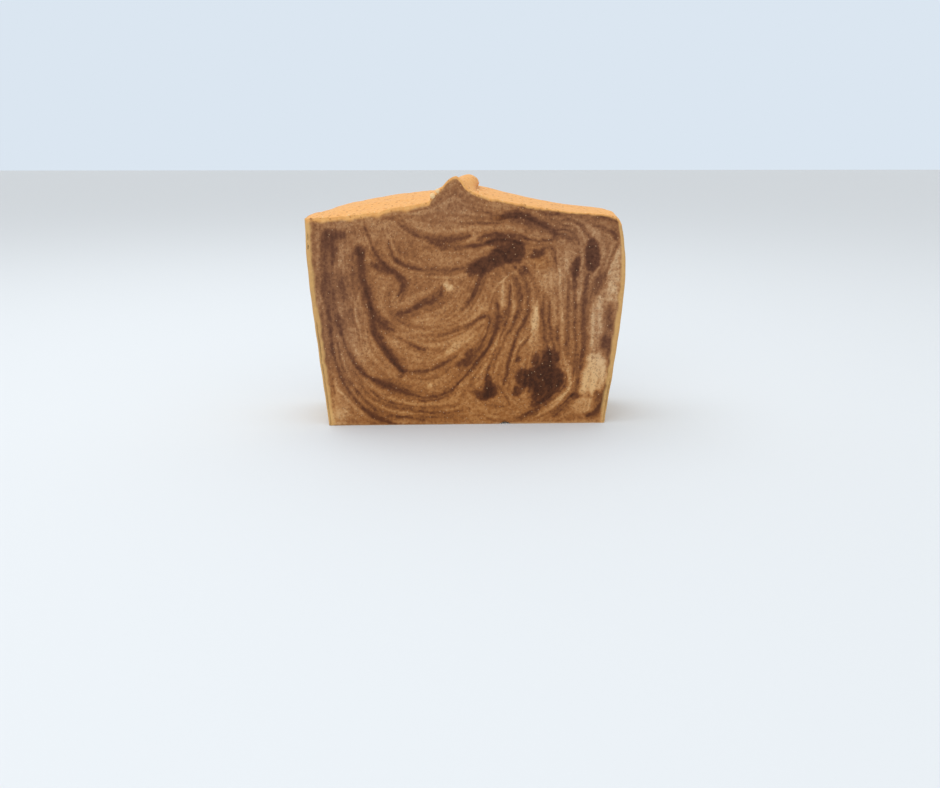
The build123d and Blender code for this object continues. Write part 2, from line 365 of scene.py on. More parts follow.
    Streak(((5.0, 4.9), (9.6, 4.6), (13.0, 3.8)), 0.8, 0.4),
    Streak(((8.6, 10.4), (10.2, 8.0), (12.0, 5.6)), 0.7, 0.45),
    # guides
    Streak(((-41.6, 54.0), (-41.4, 35.0), (-39.4, 12.0), (-38.0, 1.0)), 0.5, 0.0),
    Streak(((40.6, 52.0), (41.6, 40.0), (40.4, 20.0), (38.6, 2.0)), 0.5, 0.0),
    Streak(((34.0, 34.0), (34.4, 24.0), (34.0, 14.0), (33.4, 5.0)), 0.5, 0.0),
    Streak(((-38.0, 0.4), (0.0, 0.3), (38.0, 0.4)), 0.5, 0.0),
    Streak(((-30.0, 55.4), (-20.0, 57.4), (-11.0, 58.6)), 0.5, 0.0),
    Streak(((3.0, 60.6), (16.0, 58.4), (32.0, 56.2)), 0.5, 0.0),
    Streak(((-28.0, 27.0), (-26.8, 20.0), (-22.0, 14.6)), 0.5, 0.0),
    Streak(((-21.4, 38.0), (-21.0, 32.0), (-17.0, 27.6), (-11.0, 26.0)), 0.5, 0.0),
    Streak(((-15.0, 46.0), (-9.0, 45.0), (-2.0, 46.0)), 0.5, 0.0),
    Streak(((-9.0, 60.5), (-6.0, 62.8), (-3.2, 64.6), (-0.6, 62.4)), 0.5, 0.0),
    Streak(((22.0, 12.0), (20.0, 16.0), (21.0, 19.0)), 0.5, 0.0),
)

POOLS: tuple[Pool, ...] = (
    # the great dark mass under the right-hand slope, and its arm towards the middle
    Pool((10.4, 47.4), (4.6, 2.9), 22.0, 0.88, soft=0.3),
    Pool((12.6, 46.9), (2.4, 3.0), 0.0, 0.75, soft=0.3),
    Pool((5.8, 44.4), (5.6, 2.1), 20.0, 0.72),
    Pool((2.0, 42.4), (2.4, 1.6), 10.0, 0.6),
    Pool((7.6, 50.3), (2.8, 1.2), 20.0, 0.6),
    Pool((15.0, 42.2), (1.5, 1.3), -30.0, 0.5),
    Pool((18.4, 46.7), (2.1, 1.2), 12.0, 0.72),
    # the darkest mass, low on the right
    Pool((21.0, 12.4), (5.6, 4.4), 0.0, 1.0, soft=0.28),
    Pool((22.4, 17.8), (2.2, 3.4), 4.0, 0.85, soft=0.3),
    Pool((18.6, 18.0), (1.0, 1.8), 0.0, 0.6),
    Pool((15.2, 13.2), (2.2, 2.6), 20.0, 0.85),
    Pool((13.6, 9.4), (1.2, 1.6), -20.0, 0.72),
    Pool((20.4, 7.4), (3.2, 1.9), 8.0, 0.88),
    Pool((13.9, 18.0), (0.8, 1.0), 0.0, 0.6),
    Pool((18.6, 5.4), (1.4, 0.8), 0.0, 0.6),
    # the smaller dark mass left of it
    Pool((5.7, 12.6), (1.1, 1.8), 0.0, 0.62),
    Pool((6.2, 9.6), (2.0, 2.1), 0.0, 0.82),
    Pool((4.2, 8.0), (1.8, 1.2), 0.0, 0.72),
    Pool((2.4, 9.2), (1.3, 0.8), 0.0, 0.5),
    # leaves down the right side
    Pool((33.0, 46.3), (2.1, 4.4), 2.0, 0.82, soft=0.18),
    Pool((28.6, 42.6), (1.2, 3.3), -3.0, 0.75, soft=0.3),
    Pool((28.6, 38.6), (0.8, 1.8), 6.0, 0.5),
    Pool((37.1, 22.8), (1.7, 2.3), -8.0, 0.62, soft=0.5),
    Pool((38.0, 31.6), (0.9, 2.6), 0.0, 0.3, soft=0.8),
    Pool((38.0, 27.6), (0.7, 2.0), 0.0, 0.3, soft=0.8),
    Pool((29.6, 7.8), (1.5, 1.1), 0.0, 0.62),
    Pool((33.7, 8.0), (0.5, 0.8), 0.0, 0.42),
    Pool((35.4, 8.6), (0.5, 0.7), 0.0, 0.42),
    Pool((33.4, 2.3), (1.6, 0.8), 0.0, 0.5),
    # the dim corner at the upper left
    Pool((-34.4, 52.0), (3.2, 1.3), -8.0, 0.55),
    Pool((-36.9, 50.4), (1.1, 1.8), 20.0, 0.5),
    Pool((-28.0, 47.8), (1.7, 1.6), 0.0, 0.6),
    Pool((-27.4, 53.0), (2.0, 1.6), 0.0, 0.25, soft=0.8),
    Pool((-17.9, 15.6), (1.5, 1.2), 0.0, 0.5),
    Pool((-18.2, 13.9), (1.0, 0.6), 0.0, 0.5),
    Pool((-19.6, 18.0), (0.9, 1.2), 20.0, 0.4),
    Pool((-0.6, 17.4), (2.2, 1.2), 20.0, 0.5),
    Pool((0.4, 20.0), (1.6, 1.4), 40.0, 0.4),
    # pale pockets
    Pool((-4.9, 38.1), (1.9, 1.0), -42.0, 0.6, Batter.PALE),
    Pool((-32.6, 47.6), (1.5, 1.8), 0.0, 0.3, Batter.PALE, 0.6),
    Pool((-32.4, 44.0), (1.0, 2.2), 0.0, 0.28, Batter.PALE, 0.6),
    Pool((-11.2, 29.6), (3.0, 1.0), 0.0, 0.22, Batter.PALE, 0.8),
    Pool((-10.3, 11.0), (0.7, 0.7), 0.0, 0.6, Batter.PALE, 0.4),
    Pool((20.6, 40.2), (3.2, 3.0), 0.0, 0.32, Batter.PALE, 0.7),
    Pool((18.2, 29.4), (1.2, 4.2), -4.0, 0.62, Batter.PALE, 0.5),
    Pool((18.2, 22.8), (1.7, 2.9), 0.0, 0.45, Batter.PALE, 0.5),
    Pool((9.5, 33.6), (0.8, 0.9), 0.0, 0.4, Batter.PALE, 0.6),
    Pool((24.6, 44.0), (2.2, 5.0), 0.0, 0.26, Batter.PALE, 0.8),
    Pool((39.2, 42.6), (2.2, 7.4), -5.0, 0.58, Batter.PALE, 0.45),
    Pool((37.6, 36.4), (2.4, 3.4), 0.0, 0.45, Batter.PALE, 0.6),
    Pool((34.6, 27.4), (1.9, 7.4), 0.0, 0.5, Batter.PALE, 0.5),
    Pool((35.0, 14.4), (2.9, 5.6), 0.0, 0.85, Batter.PALE, 0.35),
    Pool((32.6, 11.8), (2.0, 3.6), 10.0, 0.7, Batter.PALE, 0.4),
    Pool((31.8, 5.2), (3.0, 2.4), 30.0, 0.5, Batter.PALE, 0.6),
    Pool((-35.6, 2.4), (2.2, 2.6), 40.0, 0.5, Batter.PALE, 0.8),
    Pool((-27.6, 20.6), (3.6, 3.4), -30.0, 0.16, Batter.PALE, 0.8),
    Pool((-38.9, 47.0), (0.8, 8.0), 0.0, 0.22, Batter.PALE, 0.8),
    # where the batter turned orange or grey
    Pool((0.0, 0.0), (44.0, 15.0), 0.0, 0.75, Batter.WARM, 1.2),
    Pool((-37.4, 6.0), (2.4, 9.0), -8.0, 0.6, Batter.WARM, 0.8),
    Pool((2.0, 23.0), (16.0, 12.0), 0.0, 0.35, Batter.WARM, 1.0),
    Pool((8.5, 56.0), (1.6, 0.7), 0.0, 0.6, Batter.WARM, 0.6),
    Pool((19.4, 44.6), (2.6, 1.6), 0.0, 0.35, Batter.WARM, 0.8),
    Pool((-36.0, 32.0), (7.0, 26.0), 0.0, 0.75, Batter.COOL, 0.8),
    Pool((33.0, 44.0), (9.0, 13.0), 0.0, 0.7, Batter.COOL, 0.8),
    Pool((37.2, 25.0), (4.0, 9.0), 0.0, 0.7, Batter.COOL, 0.8),
    Pool((-4.0, 60.0), (9.0, 5.0), 0.0, 0.6, Batter.COOL, 0.9),
    Pool((24.0, 54.0), (12.0, 4.0), -6.0, 0.5, Batter.COOL, 0.9),
    Pool((-22.0, 53.0), (16.0, 3.6), 6.0, 0.3, Batter.COOL, 0.9),
)


@dataclass
class Marbling:
    """The marbling as fields over the front cut, on an even grid, with a drift through the bar's depth."""

    streaks: Sequence[Streak] = STREAKS
    pools: Sequence[Pool] = POOLS
    low: Pair = (-45.0, -2.0)
    high: Pair = (45.0, 70.0)
    cell: float = 0.2
    steer_cell: float = 0.8  # the grid on which the lines' directions are worked out
    comb_step: float = 0.32  # how far one step goes along a line
    comb_steps: int = 22  # how many such steps are taken each way
    drift: float = 4.5  # how far the pattern wanders from the front cut to the back cut
    spread: float = 1.2  # how much wider than its drawn width a ribbon bleeds
    thinness: float = 0.88  # how much of its strength it keeps as it does
    seed: int = 7
    fields: dict[str, Grid] = field(default_factory=dict)

    def prepare(self) -> None:
        """Fills the fields: how dark, pale, warm and cool the batter is, and its fine lines."""
        xs = np.arange(self.low[0], self.high[0] + self.cell, self.cell)
        zs = np.arange(self.low[1], self.high[1] + self.cell, self.cell)
        x, z = np.meshgrid(xs, zs)
        wander = [Ripple(self.seed + i) for i in range(4)]
        bent_x = x + 0.34 * wander[0].at(x / 2.6, 0.0, z / 2.6) + 0.13 * wander[1].at(x / 0.8, 0.0, z / 0.8)
        bent_z = z + 0.34 * wander[2].at(x / 2.6, 5.0, z / 2.6) + 0.13 * wander[3].at(x / 0.8, 5.0, z / 0.8)
        clear = {batter: np.ones_like(x) for batter in Batter}
        for streak in self.streaks:
            if streak.strength > 0.0:
                self.lay_streak(streak, xs, zs, bent_x, bent_z, clear[streak.batter])
        for pool in self.pools:
            self.lay_pool(pool, bent_x, bent_z, wander, clear[pool.batter])
        self.fields = {batter.value: 1.0 - left for batter, left in clear.items()}
        self.fields.update(self.comb(x, z))

    def lay_streak(self, streak: Streak, xs: Grid, zs: Grid, bent_x: Grid, bent_z: Grid, clear: Grid) -> None:
        """Lays one ribbon into the share of clear batter that is left.

        Args:
            streak: The ribbon.
            xs: The grid's columns.
            zs: The grid's rows.
            bent_x: Each cell's place along X, nudged so that edges wander.
            bent_z: The same along Z.
            clear: The share left clear, which is lowered in place.
        """
        path = even_along(np.array(streak.points), 60)
        margin = 2.6 * streak.width + 0.8
        columns = slice(*np.searchsorted(xs, (path[:, 0].min() - margin, path[:, 0].max() + margin)))
        rows = slice(*np.searchsorted(zs, (path[:, 1].min() - margin, path[:, 1].max() + margin)))
        px = bent_x[rows, columns][..., None] - path[:, 0]
        pz = bent_z[rows, columns][..., None] - path[:, 1]
        away = np.sqrt(px * px + pz * pz)
        along = np.linspace(0.0, 1.0, len(path))
        full = np.sin(np.pi * along) ** 0.6
        swell = full + (1.0 - full) * np.where(along < 0.5, streak.start, streak.end)
        nearest = np.argmin(away / swell, axis=-1)
        closest = np.take_along_axis(away, nearest[..., None], axis=-1)[..., 0]
        reach = closest / (0.5 * streak.width * swell[nearest])
        cover = np.exp(-0.62 * (reach / self.spread) ** 1.9)
        clear[rows, columns] *= 1.0 - self.thinness * streak.strength * cover

    def lay_pool(self, pool: Pool, bent_x: Grid, bent_z: Grid, wander: Sequence[Ripple], clear: Grid) -> None:
        """Lays one patch into the share of clear batter that is left.

        Args:
            pool: The patch.
            bent_x: Each cell's place along X, nudged so that edges wander.
            bent_z: The same along Z.
            wander: The noises that fray the patch's edge.
            clear: The share left clear, which is lowered in place.
        """
        turn = math.radians(pool.tilt)
        dx = bent_x - pool.centre[0]
        dz = bent_z - pool.centre[1]
        u = (dx * math.cos(turn) + dz * math.sin(turn)) / pool.reach[0]
        v = (-dx * math.sin(turn) + dz * math.cos(turn)) / pool.reach[1]
        fray = 0.16 * wander[0].at(bent_x / 1.4, 9.0, bent_z / 1.4)
        away = np.sqrt(u * u + v * v) + fray
        clear *= 1.0 - pool.strength * smooth_step(1.0 + pool.soft, 1.0 - pool.soft, away)

    def comb(self, x: Grid, z: Grid) -> dict[str, Grid]:
        """Smears noise along the ribbons, so that it leaves fine lines that follow them.

        Args:
            x: Each cell's place along X.
            z: Each cell's place along Z.

        Returns:
            The smeared fields by name, each with a mean of 0 and a spread of 1.
        """
        east, north = self.directions()
        picks = np.random.RandomState(self.seed)
        shape = x.shape
        noises = {"fine": picks.normal(size=shape), "mid": self.soften(picks.normal(size=shape), 2)}
        noises["broad"] = self.soften(picks.normal(size=shape), 4)
        sums = {name: noise.copy() for name, noise in noises.items()}
        for way in (1.0, -1.0):
            at_x, at_z = x.copy(), z.copy()
            last_e, last_n = way * self.read(east, x, z), way * self.read(north, x, z)
            for _ in range(self.comb_steps):
                at_x += self.comb_step * last_e
                at_z += self.comb_step * last_n
                e, n = self.read(east, at_x, at_z), self.read(north, at_x, at_z)
                length = np.sqrt(e * e + n * n) + 1e-6
                same = np.where(e * last_e + n * last_n < 0.0, -1.0, 1.0) / length
                last_e, last_n = e * same, n * same
                for name, noise in noises.items():
                    sums[name] += self.read(noise, at_x, at_z)
        return {name: (total - total.mean()) / total.std() for name, total in sums.items()}

    def directions(self) -> tuple[Grid, Grid]:
        """Which way the flow runs in each cell, from the ribbons and guides near it.

        Returns:
            The east and the north part of a unit direction, on the fine grid.
        """
        xs = np.arange(self.low[0], self.high[0] + self.steer_cell, self.steer_cell)
        zs = np.arange(self.low[1], self.high[1] + self.steer_cell, self.steer_cell)
        x, z = np.meshgrid(xs, zs)
        twice_e, twice_n = np.zeros_like(x), np.zeros_like(x)
        for streak in self.streaks:
            path = even_along(np.array(streak.points), 24)
            course = np.gradient(path, axis=0)
            angle = 2.0 * np.arctan2(course[:, 1], course[:, 0])
            away = np.sqrt((x[..., None] - path[:, 0]) ** 2 + (z[..., None] - path[:, 1]) ** 2)
            nearest = np.argmin(away, axis=-1)
            weight = 1.0 / (np.take_along_axis(away, nearest[..., None], axis=-1)[..., 0] + 0.5) ** 3
            twice_e += weight * np.cos(angle)[nearest]
            twice_n += weight * np.sin(angle)[nearest]
        full = np.meshgrid(
            np.arange(self.low[0], self.high[0] + self.cell, self.cell),
            np.arange(self.low[1], self.high[1] + self.cell, self.cell),
        )
        e = self.read(twice_e, full[0], full[1], self.steer_cell)
        n = self.read(twice_n, full[0], full[1], self.steer_cell)
        angle = 0.5 * np.arctan2(n, e)
        return np.cos(angle), np.sin(angle)

    def soften(self, noise: Grid, times: int) -> Grid:
        """Blurs noise with a small tent, a number of times."""
        for _ in range(times):
            for axis in (0, 1):
                noise = 0.5 * noise + 0.25 * (np.roll(noise, 1, axis) + np.roll(noise, -1, axis))
        return noise / noise.std()

    def read(self, values: Grid, x: Grid, z: Grid, cell: float | None = None) -> Grid:
        """Reads a field between its cells.

        Args:
            values: The field, a row for each height.
            x: Where to read it along X.
            z: Where to read it along Z.
            cell: The field's own cell, if it isn't the fine grid's.

        Returns:
            The field's value at each place.
        """
        cell = cell or self.cell
        u = np.clip((x - self.low[0]) / cell, 0.0, values.shape[1] - 1.001)
        v = np.clip((z - self.low[1]) / cell, 0.0, values.shape[0] - 1.001)
        i, j = u.astype(int), v.astype(int)
        a, b = u - i, v - j
        low = values[j, i] * (1 - a) + values[j, i + 1] * a
        high = values[j + 1, i] * (1 - a) + values[j + 1, i + 1] * a
        return low * (1 - b) + high * b

    def sample(self, points: Grid, depth: float) -> dict[str, Grid]:
        """The marbling anywhere in the bar: the front cut's pattern, which wanders further with depth.

        Args:
            points: Places in the bar, in millimetres.
            depth: The bar's thickness.

        Returns:
            Each field's value at each place.
        """
        x, y, z = points.T
        share = np.clip(y / depth + 0.5, 0.0, 1.0)
        sway = [Ripple(self.seed + 20 + i) for i in range(2)]
        at_x = x + share * self.drift * (1.3 * sway[0].at(x / 17.0, 0.0, z / 17.0) + 0.35)
        at_z = z + share * self.drift * 1.1 * sway[1].at(x / 15.0, 3.0, z / 15.0)
        return {name: self.read(values, at_x, at_z) for name, values in self.fields.items()}


# ---- the bar -------------------------------------------------------------------------------------


@dataclass(frozen=True)
class TopCut:
    """The top's outline at one depth: the left slope, the ridge that curls over, and the right slope."""

    depth: float
    left: tuple[Pair, ...]
    ridge: tuple[Pair, ...]
    right: tuple[Pair, ...]


TOP_CUTS: tuple[TopCut, ...] = (
    TopCut(
        0.0,
        ((-42.2, 55.9), (-33.5, 56.5), (-24.7, 57.4), (-18.6, 58.6), (-10.1, 59.9)),
        (
            (-10.1, 59.9), (-9.2, 61.2), (-7.1, 63.3), (-5.0, 65.6),
            (-3.2, 66.5), (-1.6, 65.6), (-0.4, 63.9), (1.4, 62.6),
        ),
        ((1.4, 62.6), (5.9, 61.0), (14.5, 59.3), (26.5, 57.6), (37.0, 56.6), (39.6, 55.6), (40.6, 54.2)),
    ),
    TopCut(
        0.2,
        ((-42.2, 56.1), (-33.5, 57.2), (-24.7, 58.4), (-16.0, 59.6), (-9.9, 60.5)),
        ((-9.9, 60.5), (-7.6, 62.2), (-4.9, 64.4), (-1.6, 66.1), (0.5, 65.6), (1.6, 64.3), (2.4, 62.8)),
        ((2.4, 62.8), (7.5, 61.4), (15.5, 59.8), (27.0, 57.9), (38.2, 56.9), (39.8, 56.3), (40.8, 54.9)),
    ),
    TopCut(
        0.42,
        ((-42.2, 56.2), (-33.5, 57.9), (-24.7, 59.2), (-16.0, 60.4), (-9.4, 61.2)),
        ((-9.4, 61.2), (-7.0, 62.6), (-4.0, 64.7), (0.4, 66.8), (2.7, 65.9), (3.2, 64.6), (2.6, 63.2)),
        ((2.6, 63.2), (7.5, 62.0), (15.5, 60.2), (27.0, 58.2), (38.2, 57.2), (39.8, 56.6), (40.9, 55.2)),
    ),
    TopCut(
        0.7,
        ((-42.2, 55.8), (-34.0, 58.0), (-25.0, 59.6), (-16.5, 60.9), (-9.0, 61.8)),
        ((-9.0, 61.8), (-6.6, 62.9), (-3.6, 64.3), (0.6, 66.0), (2.9, 65.2), (3.8, 64.2), (3.4, 63.2)),
        ((3.4, 63.2), (8.0, 62.2), (16.0, 60.3), (27.0, 58.3), (38.2, 57.2), (39.8, 56.6), (40.9, 55.2)),
    ),
    TopCut(
        1.0,
        ((-42.2, 55.1), (-34.0, 58.0), (-25.0, 59.8), (-16.5, 61.1), (-8.6, 62.0)),
        ((-8.6, 62.0), (-6.2, 62.9), (-3.4, 64.0), (-0.6, 65.1), (1.4, 64.6), (2.8, 63.8), (4.0, 63.2)),
        ((4.0, 63.2), (8.0, 62.3), (16.0, 60.4), (27.0, 58.2), (38.2, 56.9), (39.8, 56.2), (40.8, 55.0)),
    ),
)


@dataclass
class SoapBar:
    """The bar itself: one closed skin over the two cuts, the flanks, the foot and the spooned top."""

    marbling: Marbling
    thickness: float = 25.4
    half_foot: float = 38.1
    left_flare: float = 4.1
    right_flare: float = 2.5
    left_bow: float = 0.8
    right_bow: float = 2.22
    edge: float = 0.6  # the radius worn onto the cuts' outer edges
    top_edge: float = 0.18
    left_swell: float = 0.26  # how far the left slope rises and falls
    left_grit: float = 0.08
    right_swell: float = 0.22
    right_furrow: float = 0.11  # the spoon's furrows along the right slope
    ridge_swell: float = 0.16
    pit_depth: float = 0.3
    burr: float = 0.22  # the lip that the wire raised along the front
    burr_dip: float = 0.14  # the hollow behind it
    flank_dent: float = 0.12
    chip_at: float = 10.4
    chip_half: float = 1.4
    chip_height: float = 0.75
    chip_depth: float = 1.6
    part_cells: tuple[int, int, int] = (78, 52, 86)
    height_cells: int = 148
    depth_cells: int = 40
    seed: int = 31

    def build(self, material: bpy.types.Material) -> bpy.types.Object:
        """Makes the bar and its marbling.

        Args:
            material: The soap.

        Returns:
            The finished piece.
        """
        across, up = sum(self.part_cells), self.height_cells
        even = np.linspace(0.0, 1.0, self.depth_cells + 1)
        shares = 0.5 - 0.5 * np.cos(np.pi * even) * (1.0 - 0.25 * np.sin(np.pi * even) ** 2)
        tops = self.tops(shares)
        ring_rows = [self.ring(tops[row], share) for row, share in enumerate(shares)]
        front, front_skin = self.cap(ring_rows[0], across, up)
        back, back_skin = self.cap(ring_rows[-1], across, up)
        middle = np.concatenate(ring_rows[1:-1])
        index = np.arange((across + 1) * (up + 1)).reshape(across + 1, up + 1)
        rim = np.concatenate([index[:-1, 0], index[-1, :-1], index[:0:-1, -1], index[0, :0:-1]])
        around = len(rim)
        rows = [rim]
        rows += [len(front) + around * row + np.arange(around) for row in range(self.depth_cells - 1)]
        back_start = len(front) + len(middle)
        rows.append(back_start + rim)
        corners = [index[:-1, :-1], index[1:, :-1], index[1:, 1:], index[:-1, 1:]]
        cells = np.stack(corners, axis=-1).reshape(-1, 4)
        faces = [cells, back_start + cells[:, ::-1]]
        for near, far in zip(rows[:-1], rows[1:]):
            faces.append(np.stack([near, far, np.roll(far, -1), np.roll(near, -1)], axis=-1))
        places = np.concatenate([front, middle, back])
        middle_skin = np.tile(self.ring_skin(across, up), (self.depth_cells - 1, 1))
        skin = np.concatenate([front_skin, middle_skin, back_skin])
        mesh = bpy.data.meshes.new("soap_bar_body")
        mesh.from_pydata((places * MM).tolist(), [], np.concatenate(faces).tolist())
        mesh.polygons.foreach_set("use_smooth", np.ones(len(mesh.polygons), bool))
        self.dress(mesh, places, skin)
        mesh.materials.append(material)
        piece = bpy.data.objects.new("soap_bar_body", mesh)
        bpy.context.collection.objects.link(piece)
        return piece

    def tops(self, shares: Grid) -> Grid:
        """The top's outline at each depth, with the unevenness that the spoon and the wire left.

        Args:
            shares: The depths, from 0 at the front cut to 1 at the back.

        Returns:
            For each depth, the outline's (x, z) places from left to right.
        """
        rows = []
        for cut in TOP_CUTS:
            halves = zip((cut.left, cut.ridge, cut.right), self.part_cells)
            parts = [even_along(np.array(part), cells + 1) for part, cells in halves]
            rows.append(np.concatenate([parts[0][:-1], parts[1][:-1], parts[2]]).ravel())
        knots = np.array([cut.depth for cut in TOP_CUTS])
        tops = spline(np.array(rows), shares, knots).reshape(len(shares), -1, 2)
        y = ((shares - 0.5) * self.thickness)[:, None]
        x = tops[..., 0]
        ripples = [Ripple(self.seed + i) for i in range(4)]
        left, right = smooth_step(-7.0, -10.0, x), smooth_step(1.0, 5.0, x)
        left_swell = self.left_swell * ripples[0].at(x / 5.5, y / 5.0, 0.0)
        left_grit = self.left_grit * ripples[1].at(x / 1.5, y / 1.5, 0.0)
        right_swell = self.right_swell * ripples[2].at(x / 9.0, y / 2.6, 0.0)
        right_furrow = self.right_furrow * ripples[3].at(x / 5.0, y / 0.8, 1.0)
        lift = left * (left_swell + left_grit)
        lift += right * (right_swell + right_furrow)
        lift += (1.0 - left - right) * self.ridge_swell * ripples[1].at(x / 2.6, y / 4.0, 4.0)
        lift -= self.pit_depth * smooth_step(0.62, 0.9, ripples[2].at(x / 1.1, y / 1.1, 7.0))
        front = y + 0.5 * self.thickness
        lift += self.burr * smooth_step(0.7, 0.2, front) * (0.5 + ripples[0].at(x / 1.7, 0.0, 9.0))
        lift -= self.burr_dip * smooth_step(0.5, 1.0, front) * smooth_step(2.4, 1.2, front) * left
        inside = smooth_step(-42.2, -41.0, x) * smooth_step(40.8, 39.6, x)
        tops[..., 1] += lift * inside
        return tops

    def ring(self, top: Grid, share: float) -> Grid:
        """The bar's outline at one depth: foot, right flank, top and left flank.

        Args:
            top: The top's outline there, from left to right.
            share: The depth, from 0 at the front cut to 1 at the back.

        Returns:
            The outline's places, counter-clockwise from the front.
        """
        up = np.linspace(0.0, 1.0, self.height_cells + 1)
        profile = np.array([[0.0, 0.0], [0.25, 0.5], [0.5, 0.9], [0.75, 1.0], [0.9, 0.55], [1.0, 0.0]])
        bow = np.interp(up, *spline(profile, np.linspace(0.0, 1.0, 200)).T)
        right_x = self.half_foot + self.right_flare * up + self.right_bow * bow
        left_x = -self.half_foot - self.left_flare * up - self.left_bow * bow
        right = np.stack([right_x, up * top[-1, 1]], axis=1)
        left = np.stack([left_x, up * top[0, 1]], axis=1)
        right[:, 0] += (top[-1, 0] - right[-1, 0]) * up**8
        left[:, 0] += (top[0, 0] - left[-1, 0]) * up**8
        foot_x = np.linspace(left[0, 0], right[0, 0], len(top))
        foot = np.stack([foot_x, np.zeros(len(top))], axis=1)
        loop = np.concatenate([foot[:-1], right[:-1], top[:0:-1], left[:0:-1]])
        course = np.roll(loop, -1, axis=0) - np.roll(loop, 1, axis=0)
        outward = np.stack([course[:, 1], -course[:, 0]], axis=1)
        outward /= np.linalg.norm(outward, axis=1)[:, None]
        on_top = self.ring_skin(len(top) - 1, self.height_cells)[:, 0] < 0.5
        radius = np.where(on_top, self.top_edge, self.edge)
        depth = self.thickness * min(share, 1.0 - share)
        short = np.clip(1.0 - depth / radius, 0.0, 1.0)
        loop = loop - outward * (radius * (1.0 - np.sqrt(1.0 - short**2)))[:, None]
        flank = smooth_step(36.0, 37.5, np.abs(loop[:, 0])) * smooth_step(0.0, 3.0, loop[:, 1])
        y = (share - 0.5) * self.thickness
        bumps = Ripple(self.seed + 9).at(y / 3.0, loop[:, 0] * 0.05, loop[:, 1] / 5.0)
        loop[:, 0] -= np.sign(loop[:, 0]) * flank * self.flank_dent * (0.8 + bumps)
        front = share * self.thickness
        across_chip = 1.0 - ((loop[: len(top) - 1, 0] - self.chip_at) / self.chip_half) ** 2
        into_chip = max(1.0 - front / self.chip_depth, 0.0)
        loop[: len(top) - 1, 1] = self.chip_height * np.maximum(across_chip, 0.0) * into_chip
        return np.stack([loop[:, 0], np.full(len(loop), y), np.maximum(loop[:, 1], 0.0)], axis=1)

    def ring_skin(self, across: int, up: int) -> Grid:
        """How far each of an outline's points lies from the top, a flank and the foot.

        Args:
            across: The outline's cells along the foot, and along the top.
            up: Its cells along each flank.

        Returns:
            A row for each point: 0 on the side it belongs to, and far from the others.
        """
        far = np.full((2 * (across + up), 3), 30.0)
        far[:across, 2] = 0.0
        far[across : across + up, 1] = 0.0
        far[across + up : 2 * across + up, 0] = 0.0
        far[2 * across + up :, 1] = 0.0
        return far

    def cap(self, ring: Grid, across: int, up: int) -> tuple[Grid, Grid]:
        """Fills a cut from its outline, with the faint unevenness that the wire left.

        Args:
            ring: The cut's outline.
            across: Its cells from left to right.
            up: Its cells from foot to top.

        Returns:
            The places and how far each lies from the top, a flank and the foot.
        """
        foot = ring[: across + 1]
        right = ring[across : across + up + 1]
        top = ring[across + up : 2 * across + up + 1][::-1]
        left = np.concatenate([ring[2 * across + up :], ring[:1]])[::-1]
        u = np.linspace(0.0, 1.0, across + 1)[:, None, None]
        v = np.linspace(0.0, 1.0, up + 1)[None, :, None]
        places = (1 - v) * foot[:, None] + v * top[:, None] + (1 - u) * left[None] + u * right[None]
        places -= (1 - u) * ((1 - v) * foot[0] + v * top[0]) + u * ((1 - v) * foot[-1] + v * top[-1])
        x, z = places[..., 0], places[..., 2]
        ripples = [Ripple(self.seed + 40 + i) for i in range(3)]
        relief = 0.05 * ripples[0].at(x / 6.0, 0.0, z / 9.0) + 0.03 * ripples[1].at(x / 0.9, 2.0, z / 6.0)
        relief += 0.22 * smooth_step(0.66, 0.92, ripples[2].at(x / 1.3, 3.0, z / 1.3))
        inner = np.minimum(1.0, 6.0 * np.minimum(u * (1 - u), v * (1 - v)) * 4.0)[..., 0]
        places[..., 1] -= np.sign(places[..., 1]) * (0.02 + np.maximum(relief, -0.02)) * inner
        from_top = np.linalg.norm(places - top[:, None], axis=-1)
        from_left = np.linalg.norm(places - left[None], axis=-1)
        from_right = np.linalg.norm(places - right[None], axis=-1)
        from_flank = np.minimum(from_left, from_right)
        far = np.stack([from_top, from_flank, z], axis=-1)
        return places.reshape(-1, 3), far.reshape(-1, 3)

    def dress(self, mesh: bpy.types.Mesh, places: Grid, far: Grid) -> None:
        """Stores the marbling, the skins and the painted highlight along the cuts' side rims on the mesh's
        points.

        Args:
            mesh: The bar's mesh.
            places: Its points, in millimetres.
            far: How far each point lies from the top, a flank and the foot.
        """
        found = self.marbling.sample(places, self.thickness)
        ripples = [Ripple(self.seed + 60 + i) for i in range(2)]
        x, y, z = places.T
        cloud = ripples[0].at(x / 7.0, y / 7.0, z / 7.0)
        fray = 1.0 + 0.45 * ripples[1].at(x / 2.4, y / 2.4, z / 2.4)
        tone = 0.54 + 0.42 * found["pale"] - 0.5 * found["dark"] + 0.05 * cloud
        tone += 0.035 * found["fine"] + 0.045 * found["mid"] + 0.045 * found["broad"]
        tone -= 0.10 * smooth_step(1.1, 2.0, found["broad"]) + 0.07 * smooth_step(1.3, 2.1, found["mid"])
        tone += 0.10 * smooth_step(-1.4, -2.2, found["broad"])
        warmth = 0.45 + 0.6 * found["warm"] - 0.5 * found["cool"]
        top_depth = np.where(x < -9.5, 0.9, np.where(x < 3.0, 0.5, 0.35)) * np.clip(fray, 0.3, 2.0)
        top = smooth_step(1.5, 0.6, far[:, 0] / np.maximum(top_depth, 0.05))
        # flank skin on the flanks; on the cuts a band about a millimetre wide beside each flank, painted
        # highlight of the glowing rims in the skin's colour
        flank = smooth_step(1.3, 0.6, far[:, 1] / (0.95 * np.clip(fray, 0.4, 2.0)))
        foot = 0.8 * smooth_step(1.3, 0.6, far[:, 2] / (0.25 * np.clip(fray, 0.4, 2.0)))
        fields = {"tone": tone, "warmth": warmth, "top": top, "flank": flank, "foot": foot}
        for name, values in fields.items():
            stored = mesh.attributes.new(name, "FLOAT", "POINT")
            stored.data.foreach_set("value", np.clip(values, 0, 1).astype("f4"))


